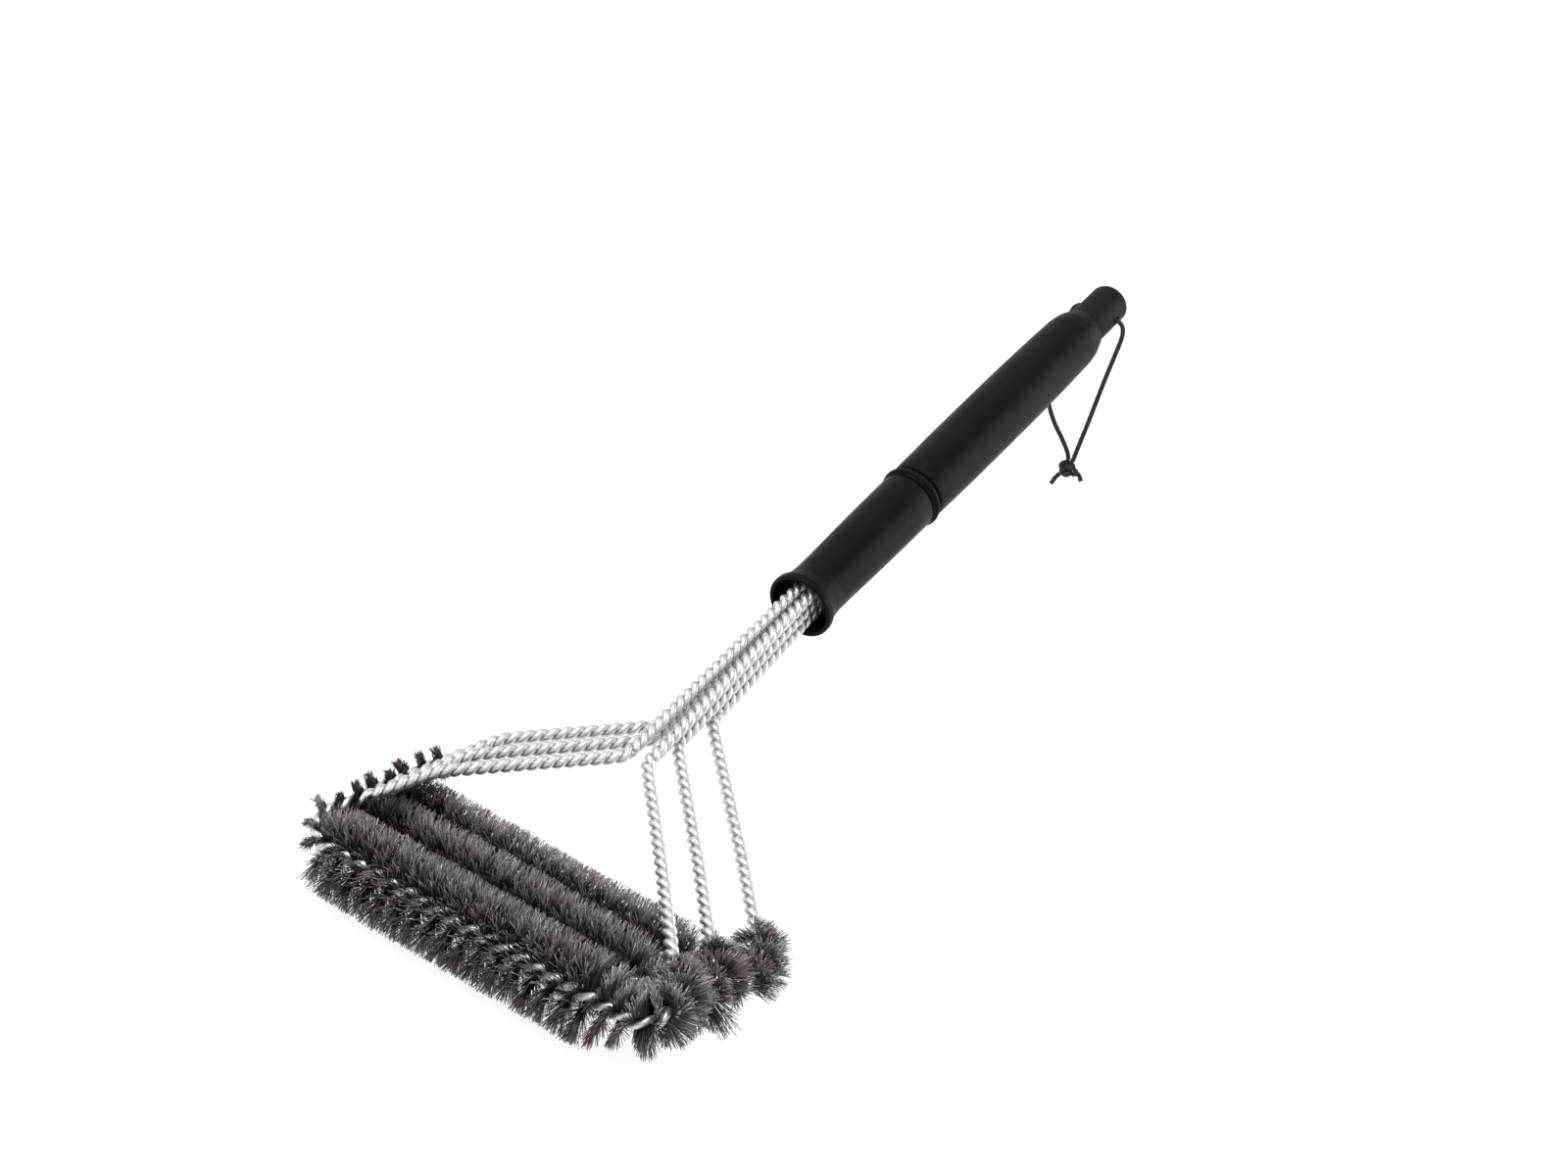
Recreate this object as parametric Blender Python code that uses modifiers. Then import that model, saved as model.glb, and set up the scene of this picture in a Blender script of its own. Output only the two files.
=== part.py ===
"""Grill cleaning brush: three twisted-wire brush loops, one long grip and a hanging cord.

Metres, +Z up. X runs along the bristle rows and Y from the front row to the end of the grip.
The origin is the centre of the middle row's flat contact face, so the rows stand on Z = 0.
Each loop is one length of wire: a shank up into the grip, an arm down to a corner, the core of its
row, and the same back again. The wire is modelled as one round rod per stretch.
"""

import math

import bmesh
import bpy
from mathutils import Vector

# Driving dimensions, in metres and degrees
ROW_SPACING = 0.022
ROW_HALF_LENGTH = 0.053
BRISTLE_RADII = {"front": 0.0164, "middle": 0.0164, "rear": 0.0150}
CORE_HEIGHT = 0.0162
TUFT_RADIUS = {"left": 0.0070, "right": 0.0155}
TUFT_TIP_RADIUS = 0.0055
TUFT_THICKNESS = 0.0088
TUFT_ARM_RUN = 0.029
CORNER_RADIUS = 0.010
LOOP_RISE = 0.0414
LOOP_REACH = 0.0832
SHAFT_RISE_DEG = 23.6
BEND_RADIUS = 0.009
KNEE_RADIUS = 0.03
WIRE_DIAMETER = 0.0052
WIRE_PITCH = 0.0055
SHAFT_LENGTH = 0.085
GRIP_LENGTH = 0.237
NECK_RADIUS = 0.0084
SLEEVE_BORE = 0.0098
CORD_DIAMETER = 0.002
GAP = 0.0003

# Stations along the grip, from its mouth
MOUTH_DEPTH = 0.006
PLUG_START, PLUG_END = 0.008, 0.030
BAND_START, BAND_END = 0.049, 0.057
WIRE_TAIL = 0.061
RING_START, RING_END = 0.0758, 0.0808
SHOULDER_START, SHOULDER_END = 0.2040, 0.2125
CORD_HOLE = 0.227

# Each loop's place in the stack, where its left and right arms bend out of the shaft, and its right corner
LOOPS = {
    "front": (-1, -0.0203, -0.0185, 0.087),
    "middle": (0, -0.0037, 0.0, 0.089),
    "rear": (1, 0.0131, 0.0215, 0.095),
}

# The left corners, each side's knee as shares of the corner's width and the bend's rise, and how far
# the right bends lie further out
LEFT_CORNER = -0.0738
KNEES = {"left": (0.69, 0.52), "right": (0.492, 0.55)}
RIGHT_BEND_ASIDE = 0.0024

# Worked out from the above
SIDES = {"left": -1, "right": 1}
SHAFT_RISE = math.radians(SHAFT_RISE_DEG)
SHAFT_AXIS = Vector((0, math.cos(SHAFT_RISE), math.sin(SHAFT_RISE)))
SHAFT_UP = Vector((0, -math.sin(SHAFT_RISE), math.cos(SHAFT_RISE)))
MIDDLE_BEND = Vector((0, LOOP_REACH, CORE_HEIGHT + LOOP_RISE))
CORE_BORE_RADIUS = WIRE_DIAMETER / 2 + GAP


def clear_scene():
    for obj in list(bpy.data.objects):
        bpy.data.objects.remove(obj, do_unlink=True)


def new_collection(name):
    collection = bpy.data.collections.new(name)
    bpy.context.scene.collection.children.link(collection)
    return collection


def new_material(name, colour, roughness, metallic):
    material = bpy.data.materials.new(name)
    material.use_nodes = True
    shader = material.node_tree.nodes["Principled BSDF"]
    shader.inputs["Base Color"].default_value = (*colour, 1)
    shader.inputs["Roughness"].default_value = roughness
    shader.inputs["Metallic"].default_value = metallic
    return material


def add_object(name, data, material=None, parent=None):
    """A new object of this mesh or curve, in the brush's collection."""
    obj = bpy.data.objects.new(name, data)
    brush.objects.link(obj)
    obj.parent = parent
    if material:
        data.materials.append(material)
    return obj


def add_cutter(obj):
    """Moves an object out of the brush, into the cutters."""
    brush.objects.unlink(obj)
    cutters.objects.link(obj)
    obj.hide_render = True
    obj.display_type = "WIRE"
    return obj


def add_empty(name, location, rotation=(0, 0, 0)):
    empty = add_object(name, None)
    empty.location = location
    empty.rotation_euler = rotation
    return empty


def tube(name, points, diameter, material=None, parent=None):
    """A round rod along these points."""
    curve = bpy.data.curves.new(name, "CURVE")
    curve.dimensions = "3D"
    curve.bevel_depth = diameter / 2
    curve.bevel_resolution = 2
    curve.use_fill_caps = True
    spline = curve.splines.new("POLY")
    spline.points.add(len(points) - 1)
    for point, place in zip(spline.points, points):
        point.co = (*place, 1)
    return add_object(name, curve, material, parent)


def plate(name, outlines, thickness, material, parent=None):
    """A flat filled outline, with any further outlines as holes, extruded to this thickness."""
    curve = bpy.data.curves.new(name, "CURVE")
    curve.dimensions = "2D"
    curve.fill_mode = "BOTH"
    curve.extrude = thickness / 2
    for outline in outlines:
        spline = curve.splines.new("POLY")
        spline.points.add(len(outline) - 1)
        spline.use_cyclic_u = True
        for point, (x, y) in zip(spline.points, outline):
            point.co = (x, y, 0, 1)
    return add_object(name, curve, material, parent)


def turned(name, profile, material, parent=None, closed=False, steps=32):
    """A solid turned about local Z from (radius, height) points that run down its outer side."""
    mesh = bpy.data.meshes.new(name)
    edges = [(i, i + 1) for i in range(len(profile) - 1)]
    if closed:
        edges.append((len(profile) - 1, 0))
    mesh.from_pydata([(radius, 0, height) for radius, height in profile], edges, [])
    obj = add_object(name, mesh, material, parent)
    screw = obj.modifiers.new("Turn", "SCREW")
    screw.steps = screw.render_steps = steps
    screw.use_merge_vertices = True
    screw.merge_threshold = 0.00001
    return obj


def as_mesh(obj, material=None):
    """The same object as a mesh with welded caps, in place of the curve."""
    bpy.context.view_layer.update()
    evaluated = obj.evaluated_get(bpy.context.evaluated_depsgraph_get())
    mesh = bpy.data.meshes.new_from_object(evaluated)
    shape = bmesh.new()
    shape.from_mesh(mesh)
    bmesh.ops.remove_doubles(shape, verts=shape.verts, dist=0.000001)
    bmesh.ops.recalc_face_normals(shape, faces=shape.faces)
    shape.to_mesh(mesh)
    shape.free()
    name, place, parent = obj.name, obj.matrix_world.copy(), obj.parent
    bpy.data.objects.remove(obj)
    result = add_object(name, mesh, None, parent)
    result.matrix_world = place
    mesh.materials.clear()
    if material:
        mesh.materials.append(material)
    return result


def cut(obj, cutter):
    boolean = obj.modifiers.new("Cut", "BOOLEAN")
    boolean.operation = "DIFFERENCE"
    boolean.object = cutter


def arc(centre, radius, start_deg, end_deg, steps):
    """Points of a flat arc, ends included."""
    points = []
    for step in range(steps + 1):
        angle = math.radians(start_deg + (end_deg - start_deg) * step / steps)
        points.append((centre[0] + radius * math.cos(angle), centre[1] + radius * math.sin(angle)))
    return points


def rounded_corner(before, corner, after, radius, steps):
    """The arc that rounds a corner between two straight runs, in space."""
    back, ahead = (before - corner).normalized(), (after - corner).normalized()
    half = back.angle(ahead) / 2
    centre = corner + (back + ahead).normalized() * radius / math.sin(half)
    start = corner + back * radius / math.tan(half) - centre
    end = corner + ahead * radius / math.tan(half) - centre
    turn = start.angle(end)
    points = []
    for step in range(steps + 1):
        share = step / steps
        blend = start * math.sin((1 - share) * turn) + end * math.sin(share * turn)
        points.append(centre + blend / math.sin(turn))
    return points


def smooth_route(route, spacing):
    """Even points on a Catmull-Rom curve through a route's own points."""
    ends = [route[0] * 2 - route[1], *route, route[-1] * 2 - route[-2]]
    fine = []
    for a, b, c, d in zip(ends, ends[1:], ends[2:], ends[3:]):
        for step in range(24):
            t = step / 24
            cubic = (-a + 3 * b - 3 * c + d) * t**3 + (2 * a - 5 * b + 4 * c - d) * t**2
            fine.append((cubic + (c - a) * t + 2 * b) / 2)
    fine.append(route[-1])
    lengths = [0.0]
    for a, b in zip(fine, fine[1:]):
        lengths.append(lengths[-1] + (b - a).length)
    count = round(lengths[-1] / spacing)
    points = []
    at = 0
    for step in range(count + 1):
        wanted = lengths[-1] * step / count
        while at < len(fine) - 2 and lengths[at + 1] < wanted:
            at += 1
        share = (wanted - lengths[at]) / (lengths[at + 1] - lengths[at])
        points.append(fine[at].lerp(fine[at + 1], share))
    return points


def on_shaft(station, across=0.0, up=0.0):
    """A point of the shaft, by its distance from the middle loop's bend."""
    return MIDDLE_BEND + SHAFT_AXIS * station + Vector((across, 0, 0)) + SHAFT_UP * up


def loop_corners(name, side_name):
    """Tail, mouth, bend, knee, corner and row middle of one half of a loop."""
    order, left_bend, right_bend, right_corner = LOOPS[name]
    right = side_name == "right"
    across = SIDES[side_name] * WIRE_PITCH / 2
    stack = -order * WIRE_PITCH
    tail = on_shaft(SHAFT_LENGTH + WIRE_TAIL, across, stack)
    mouth = on_shaft(SHAFT_LENGTH + MOUTH_DEPTH, across, stack)
    aside = RIGHT_BEND_ASIDE if right else 0
    bend = on_shaft(right_bend if right else left_bend, across + aside, stack)
    middle = Vector((0, order * ROW_SPACING, CORE_HEIGHT))
    corner = middle + Vector((right_corner if right else LEFT_CORNER, 0, 0))
    width_share, rise_share = KNEES[side_name]
    rise = (bend - middle) * rise_share
    knee = Vector((corner.x * width_share, middle.y + rise.y, middle.z + rise.z))
    return tail, mouth, bend, knee, corner, middle


def half_loop(name, side_name, material):
    """The shank and arm of one side of a loop."""
    tail, mouth, bend, knee, corner, middle = loop_corners(name, side_name)
    top = rounded_corner(mouth, bend, knee, BEND_RADIUS, 5)
    shank_end = top[0] + (mouth - top[0]).normalized() * GAP
    tube(f"{name}_{side_name}_shank", [tail, mouth, shank_end], WIRE_DIAMETER, material)
    bottom = rounded_corner(knee, corner, middle, CORNER_RADIUS, 9)
    core_start = Vector((SIDES[side_name] * (ROW_HALF_LENGTH + GAP), corner.y, corner.z))
    path = [*top, *rounded_corner(bend, knee, corner, KNEE_RADIUS, 3), *bottom, core_start]
    tube(f"{name}_{side_name}_arm", path, WIRE_DIAMETER, material)


def row_outline(order, radius):
    """A bristle row's section: round, flat where it stands, and cut back where the next row begins."""
    front = -radius if order == -1 else -ROW_SPACING / 2 + GAP / 2
    back = radius if order == 1 else ROW_SPACING / 2 - GAP / 2
    outline = []
    for y, z in arc((0, 0), radius, 5, 355, 35):
        outline.append((min(max(y, front), back), max(z, -CORE_HEIGHT)))
    return outline


def bristle_row(name, order, material):
    bore = arc((0, 0), CORE_BORE_RADIUS, 0, 330, 11)
    outlines = [row_outline(order, BRISTLE_RADII[name]), bore]
    row = plate(f"{name}_bristle_row", outlines, 2 * ROW_HALF_LENGTH, material)
    row.location = (0, order * ROW_SPACING, CORE_HEIGHT)
    row.rotation_euler = (math.pi / 2, 0, math.pi / 2)
    as_mesh(row, material)


def build_loop(name, steel, bristle):
    order = LOOPS[name][0]
    core = [Vector((x, order * ROW_SPACING, CORE_HEIGHT)) for x in (-ROW_HALF_LENGTH, ROW_HALF_LENGTH)]
    tube(f"{name}_row_core", core, WIRE_DIAMETER, steel)
    bristle_row(name, order, bristle)
    for side_name in SIDES:
        half_loop(name, side_name, steel)
        corner_tuft(name, side_name, bristle)


def tuft_outline(corner, arm_angle, radius, row_radius):
    """The fan round a right-hand corner, in its loop's plane: as high as the row at one end, and
    short at the other end, up the arm."""
    half = (math.pi - arm_angle) / 2
    centre = (corner - CORNER_RADIUS / math.tan(half), CORNER_RADIUS)
    fan = arc(centre, CORNER_RADIUS + radius, -90, math.degrees(arm_angle) - 90, 10)
    along = Vector((math.cos(arm_angle), math.sin(arm_angle)))
    outward = Vector((along.y, -along.x))
    tip = Vector((corner, 0)) + along * TUFT_ARM_RUN
    tip_edge = [tip + outward * TUFT_TIP_RADIUS, tip - outward * TUFT_TIP_RADIUS]
    row_end = ROW_HALF_LENGTH + GAP
    return [(row_end, -row_radius), *fan, *tip_edge, (row_end, row_radius)]


def corner_tuft(name, side_name, material):
    """The bristles that fan round a corner: a thick plate in the loop's plane, bored for its wire."""
    side = SIDES[side_name]
    tail, mouth, bend, knee, corner, middle = loop_corners(name, side_name)
    upward = Vector((0, bend.y - middle.y, bend.z - middle.z)).normalized()
    arm = knee - corner
    arm_angle = math.atan2(arm.dot(upward), arm.x * side)
    outline = tuft_outline(corner.x * side, arm_angle, TUFT_RADIUS[side_name], BRISTLE_RADII[name])
    flat = [(side * x, y) for x, y in outline]
    tuft = plate(f"{name}_{side_name}_tuft", [flat], TUFT_THICKNESS, material)
    tuft.location = middle
    tuft.rotation_euler = (math.atan2(upward.z, upward.y), 0, 0)
    tuft = as_mesh(tuft, material)
    path = [bend, *rounded_corner(bend, knee, corner, KNEE_RADIUS, 3)]
    path += [*rounded_corner(knee, corner, middle, CORNER_RADIUS, 9), middle]
    bore = tube(f"{tuft.name}_bore", path, 2 * CORE_BORE_RADIUS)
    cut(tuft, add_cutter(as_mesh(bore)))


def build_grip(plastic, dark_plastic, steel):
    """Everything on the shaft, from the mouth to the end of the grip. Heights run along the shaft."""
    frame = add_empty("grip_frame", on_shaft(SHAFT_LENGTH), (SHAFT_RISE - math.pi / 2, 0, 0))
    front_sleeve(plastic, frame)
    joint_ring(plastic, frame)
    rear_sleeve(plastic, frame)
    end_cap(dark_plastic, frame)
    bundle_collar("core_plug", PLUG_START, PLUG_END, SLEEVE_BORE - GAP, dark_plastic, frame)
    bundle_band("tail_band", steel, frame)


def front_sleeve(material, frame):
    outer = [(0.0120, 0.0755), (0.0119, 0.058), (0.0116, 0.038), (0.0112, 0.020)]
    flare = [(0.0112, 0.0125), (0.0117, 0.0075), (0.0127, 0.0042), (0.0133, 0.0032), (0.0133, 0.0006)]
    mouth = [(0.0128, 0.0), (0.0122, 0.0), (0.0116, 0.0008), (0.0108, 0.0038), (0.0101, 0.0072)]
    inner = [(SLEEVE_BORE, 0.0078), (SLEEVE_BORE, 0.0755)]
    turned("front_sleeve", outer + flare + mouth + inner, material, frame, closed=True)


def joint_ring(material, frame):
    crown = arc((0.0114, (RING_START + RING_END) / 2), 0.0015, 60, -60, 4)
    back, front = [(0.0100, RING_END), (0.0114, RING_END)], [(0.0114, RING_START), (0.0100, RING_START)]
    turned("joint_ring", back + crown + front, material, frame, closed=True)


def rear_sleeve(material, frame):
    """Its front end is a spigot that enters the front sleeve through the ring."""
    start = RING_END + GAP
    shoulder = [(0.0086, SHOULDER_END), (0.0097, SHOULDER_END - 0.001), (0.0113, SHOULDER_START + 0.002)]
    outer = [(0.0119, SHOULDER_START - 0.003), (0.0123, 0.185), (0.0126, 0.160), (0.0126, 0.135)]
    taper = [(0.0125, 0.110), (0.0122, 0.088), (0.0120, start)]
    spigot = [(SLEEVE_BORE - GAP, start), (SLEEVE_BORE - GAP, 0.066), (0.0073, 0.066), (0.0073, 0.095)]
    hollow = [(0.0095, 0.100), (0.0095, 0.183), (0.0073, 0.188), (0.0073, SHOULDER_END)]
    turned("rear_sleeve", shoulder + outer + taper + spigot + hollow, material, frame, closed=True)


def end_cap(material, frame):
    """The neck: a spigot in the rear sleeve, a cross hole for the cord, and a dished end."""
    dish = [(0, GRIP_LENGTH - 0.0022), (0.0048, GRIP_LENGTH - 0.0022), (0.0056, GRIP_LENGTH)]
    rim = [(0.0070, GRIP_LENGTH), (0.0078, GRIP_LENGTH - 0.0007), (NECK_RADIUS, GRIP_LENGTH - 0.002)]
    neck = [(NECK_RADIUS, SHOULDER_END + GAP), (0.0070, SHOULDER_END + GAP)]
    spigot = [(0.0070, 0.193), (0.0062, 0.191), (0, 0.191)]
    cap = turned("end_cap", dish + rim + neck + spigot, material, frame)
    bpy.ops.mesh.primitive_cylinder_add(vertices=24, radius=CORD_DIAMETER / 2 + 3 * GAP, depth=0.04)
    hole = bpy.context.object
    hole.name = "cord_hole"
    hole.parent = frame
    hole.location = (0, 0, CORD_HOLE)
    hole.rotation_euler = (0, math.pi / 2, 0)
    for collection in hole.users_collection:
        collection.objects.unlink(hole)
    brush.objects.link(hole)
    cut(cap, add_cutter(hole))


def bundle_outline(margin):
    """A rounded rectangle round the six wires, two across and three high."""
    x, y, radius = WIRE_PITCH / 2, WIRE_PITCH, WIRE_DIAMETER / 2 + margin
    outline = []
    for cx, cy, start in ((x, y, 0), (-x, y, 90), (-x, -y, 180), (x, -y, 270)):
        outline += arc((cx, cy), radius, start, start + 90, 4)
    return outline


def bundle_collar(name, start, end, radius, material, frame):
    """A round plug that fills the sleeve about the wires."""
    outlines = [arc((0, 0), radius, 0, 348.75, 31), bundle_outline(GAP)]
    collar = plate(name, outlines, end - start, material, frame)
    collar.location = (0, 0, (start + end) / 2)
    as_mesh(collar, material)


def bundle_band(name, material, frame):
    """A thin steel band closed round the tails of the wires."""
    outlines = [bundle_outline(GAP + 0.0006), bundle_outline(GAP)]
    band = plate(name, outlines, BAND_END - BAND_START, material, frame)
    band.location = (0, 0, (BAND_START + BAND_END) / 2)
    as_mesh(band, material)


# The cord's route below its hole, as (across, down) in millimetres
NEAR_ROUTE = [(0.2, 0), (4, 0), (8, 0), (10.6, 0.7), (12.3, 2.9), (12.9, 7), (12.5, 15), (11.9, 25)]
NEAR_ROUTE += [(11.5, 35), (11.1, 46), (10.6, 55), (10.2, 63.8)]
FAR_ROUTE = [(-0.2, 0), (-4, 0), (-8, 0), (-10, 0.6), (-11.5, 2.7), (-12.2, 7), (-12.6, 15), (-12.6, 25)]
FAR_ROUTE += [(-11.6, 35), (-9, 43.5), (-3.8, 50.8), (2.4, 56.6), (6.6, 61), (8.2, 64.0)]
KNOT_AT = (9.4, 67.8)
KNOT_SIZE = (0.0042, 0.0036, 0.0036)
LEFT_TAIL = [(6.4, 71.2), (5.2, 73.6), (4.3, 76.6)]
RIGHT_TAIL = [(13.9, 67.8), (15.4, 68.7), (16.5, 70.4)]


def below_hole(place):
    across, down = place
    return Vector((across, 0, -down)) / 1000


def build_cord(material):
    """The hanging loop, which swings about the cross hole."""
    pivot = add_empty("cord_pivot", on_shaft(SHAFT_LENGTH + CORD_HOLE))
    routes = {
        "cord_near_strand": NEAR_ROUTE,
        "cord_far_strand": FAR_ROUTE,
        "cord_left_tail": LEFT_TAIL,
        "cord_right_tail": RIGHT_TAIL,
    }
    for name, route in routes.items():
        points = smooth_route([below_hole(place) for place in route], CORD_DIAMETER)
        tube(name, points, CORD_DIAMETER, material, pivot)
    mesh = bpy.data.meshes.new("cord_knot")
    shape = bmesh.new()
    bmesh.ops.create_uvsphere(shape, u_segments=16, v_segments=10, radius=1)
    bmesh.ops.scale(shape, verts=shape.verts, vec=KNOT_SIZE)
    shape.to_mesh(mesh)
    shape.free()
    knot = add_object("cord_knot", mesh, material, pivot)
    knot.location = below_hole(KNOT_AT)


def shade_smooth():
    for obj in brush.objects:
        if obj.type == "MESH":
            obj.data.shade_smooth()
            obj.data.set_sharp_from_angle(angle=math.radians(35))


clear_scene()
brush = new_collection("grill_brush")
cutters = new_collection("cutters")
wire_steel = new_material("twisted_wire", (0.62, 0.62, 0.63), 0.28, 1.0)
bristle_steel = new_material("bristles", (0.20, 0.175, 0.165), 0.45, 0.9)
grip_plastic = new_material("grip_plastic", (0.018, 0.019, 0.021), 0.45, 0.0)
cap_plastic = new_material("cap_plastic", (0.03, 0.031, 0.034), 0.5, 0.0)
black_cord = new_material("black_cord", (0.012, 0.012, 0.013), 0.8, 0.0)
for loop_name in LOOPS:
    build_loop(loop_name, wire_steel, bristle_steel)
build_grip(grip_plastic, cap_plastic, wire_steel)
build_cord(black_cord)
shade_smooth()
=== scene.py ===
"""Looks of the grill cleaning brush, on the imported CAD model. Metres, in the CAD frame.

Each wire is two strands twisted together, each bristle is a thin prism that leaves the wire between
its strands, and the grip, the cord and its knot are finer versions of their CAD solids.
"""

import math

import bpy
import numpy as np
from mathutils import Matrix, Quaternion, Vector


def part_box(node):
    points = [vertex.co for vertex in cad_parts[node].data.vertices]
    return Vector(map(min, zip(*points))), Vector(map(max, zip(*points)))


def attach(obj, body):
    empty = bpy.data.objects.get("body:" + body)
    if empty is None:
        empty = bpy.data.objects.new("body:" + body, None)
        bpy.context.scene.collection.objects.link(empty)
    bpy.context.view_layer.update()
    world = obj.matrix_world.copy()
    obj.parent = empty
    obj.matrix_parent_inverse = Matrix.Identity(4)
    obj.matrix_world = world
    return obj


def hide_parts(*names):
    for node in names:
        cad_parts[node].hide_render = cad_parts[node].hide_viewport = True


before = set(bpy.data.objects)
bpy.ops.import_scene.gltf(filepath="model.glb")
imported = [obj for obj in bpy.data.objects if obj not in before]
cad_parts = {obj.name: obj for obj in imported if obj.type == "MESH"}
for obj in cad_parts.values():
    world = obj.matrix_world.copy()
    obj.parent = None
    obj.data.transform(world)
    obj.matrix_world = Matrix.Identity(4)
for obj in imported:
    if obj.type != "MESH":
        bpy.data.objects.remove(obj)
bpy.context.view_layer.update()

# Read from the CAD nodes
ROW_LOW, ROW_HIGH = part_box("middle_row_core")
ROW_HALF_LENGTH = ROW_HIGH.x
WIRE_DIAMETER = ROW_HIGH.y - ROW_LOW.y
CORE_HEIGHT = (ROW_LOW.z + ROW_HIGH.z) / 2
ROW_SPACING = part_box("rear_row_core")[1].y - ROW_HIGH.y

# The loops, as in the CAD
CORNER_RADIUS = 0.010
LOOP_RISE = 0.0414
LOOP_REACH = 0.0832
SHAFT_RISE = math.radians(23.6)
BEND_RADIUS = 0.009
KNEE_RADIUS = 0.03
WIRE_PITCH = 0.0055
SHAFT_LENGTH = 0.085
MOUTH_DEPTH = 0.006
WIRE_TAIL = 0.061

# Each loop's place in the stack, where its left and right arms bend out of the shaft, and its right corner
LOOPS = {
    "front": (-1, -0.0203, -0.0185, 0.087),
    "middle": (0, -0.0037, 0.0, 0.089),
    "rear": (1, 0.0131, 0.0215, 0.095),
}

# The left corners, each side's knee as shares of the corner's width and the bend's rise, and how far
# the right bends lie further out
LEFT_CORNER = -0.0738
KNEES = {"left": (0.69, 0.52), "right": (0.492, 0.55)}
RIGHT_BEND_ASIDE = 0.0024
SIDES = {"left": -1, "right": 1}

# The twist: how far along the wire its strands make one turn, bare and where it holds bristles
ARM_TWIST = 0.0088
ROW_TWIST = 0.0135
STRAND_RADIUS = 0.00140
STRAND_SIDES = 12
WIRE_STEP = 0.00085
CUT_OVERLAP = 0.0005

# A strand is painted in shade towards the other one from this far past its middle, over this width, both in
# radii
CREVICE_START, CREVICE_WIDTH = -0.45, 0.7

# The bristles. A flare is how far they lean along the wire, a fray how much shorter they are at the
# sides of each turn, an unevenness how much the turns differ, and an arm run how far a tuft goes up its
# arm. No bristle of a right tuft reaches below its tuft floor
BRISTLE_RADII = {"front": 0.0164, "middle": 0.0164, "rear": 0.0150}
BRISTLE_THICKNESS = 0.00032
BRISTLES_PER_METRE = 62000
ROW_FLARE = 0.24
ROW_UNEVENNESS = 0.02
TUFT_FLARES = {"left": 0.26, "right": 0.15}
TUFT_FRAYS = {"left": 0.9, "right": 0.7}
TUFT_UNEVENNESS = {"left": 0.4, "right": 0.28}
TUFT_ARM_RUNS = {"left": 0.029, "right": 0.036}
TUFT_FLOORS = {"front": 0.002, "middle": 0.0075, "rear": 0.018}
FLOOR_CLEARANCE = 0.0003
ROW_OVERLAP = 0.0008
PRISM_SIDES = 3
BRISTLE_POINTS = 3 * PRISM_SIDES

# How bristles stray about the wire and along it and how their lengths differ, both at random and in waves
# along the wire
TURN_SPREAD, TURN_WAVE, TURN_WAVE_LENGTH = 0.24, 0.08, 0.003
LEAN_SPREAD, LEAN_WAVE, LEAN_WAVE_LENGTH = 0.025, 0.035, 0.0018
LENGTH_MEAN, LENGTH_SPREAD, LENGTH_WAVE_LENGTH = 0.985, 0.02, 0.009
SHORTEST_FRAY = 0.35
MIDDLE_SPREAD = 0.0003

# A bristle's middle and tip, as shares of its length and of how far it strays
BENDS = ((0.55, 0.4), (1, 1))

# The wire shows between bristles in this direction. Towards it they are sparser and more upright, each
# by a share and with a power that says how narrowly
WINDOW = np.array((0, -0.82, 0.57))
SPARSE_SHARE, SPARSE_POWER = 0.72, 32
UPRIGHT_SHARE, UPRIGHT_POWER = 0.2, 8

# How far bristles stand from the wire, at even steps from the end of the row to the last bristle
TUFT_REACH = {
    "left": (0.016, 0.0145, 0.0088, 0.0078, 0.0085, 0.0085, 0.0065),
    "right": (0.016, 0.016, 0.016, 0.016, 0.0155, 0.0135, 0.008),
}

# How bright bristles are from 0 to 1 and how much that varies, the share of them painted bright as glints,
# the painted shade at their roots and middles and painted light at their tips, and how much painted shade
# darkens them in the grooves between rows, painted shadow in the left corners and painted shade under the
# rows
# The right tufts are painted lighter, as light from the right falls on them
BRIGHTNESS = {"bristle_row": 0.45, "left_tuft": 0.45, "right_tuft": 0.6}
BRIGHTNESS_SPREAD = 0.15
PAINTED_GLINT_SHARE = 0.015
PAINTED_ROOT_SHADE_TO_TIP_LIGHT = (-0.5, -0.1, 0.18)
GROOVE_PAINTED_SHADE, CORNER_PAINTED_SHADOW, UNDER_PAINTED_SHADE = 0.45, 0.5, 0.3

# How far the painted shade, and in the grooves the brown cast, spreads to each side of a groove's middle
# and past the rows' ends, and where it starts and over what distance it thickens in the corners, from the
# middle, and under the rows, from the core
GROOVE_WIDTH, GROOVE_PAST_ROW = 0.0035, 0.004
CORNER_START, CORNER_WIDTH = -0.037, 0.012
UNDER_START, UNDER_WIDTH = 0.004, 0.006

# The grip's stations from its mouth, as in the CAD
GRIP_LENGTH = 0.237
RING_START, RING_END = 0.0758, 0.0808
SHOULDER_START, SHOULDER_END = 0.2040, 0.2125
CORD_HOLE = 0.227
NECK_RADIUS = 0.0084
SLEEVE_BORE = 0.0098
GAP = 0.0003

# Its edges, the turn of an outline that is too flat to round, and its two parting lines
GRIP_SIDES = 96
EDGE_RADIUS = 0.0012
FLAT_TURN = 0.05
SEAM_HEIGHT = 0.00006
SEAM_WIDTH = 0.008
SEAM_SHIFTS = (-0.03, -0.012, 0.012, 0.03)

# The cord, its hole, one turn of its braid and the size of its knot
CORD_DIAMETER = 0.002
HOLE_RADIUS = CORD_DIAMETER / 2 + 3 * GAP
CORD_STEP = 0.0003
CORD_SIDES = 24
BRAID_PITCH = 0.0034
KNOT_SCALE = 0.00104

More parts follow.
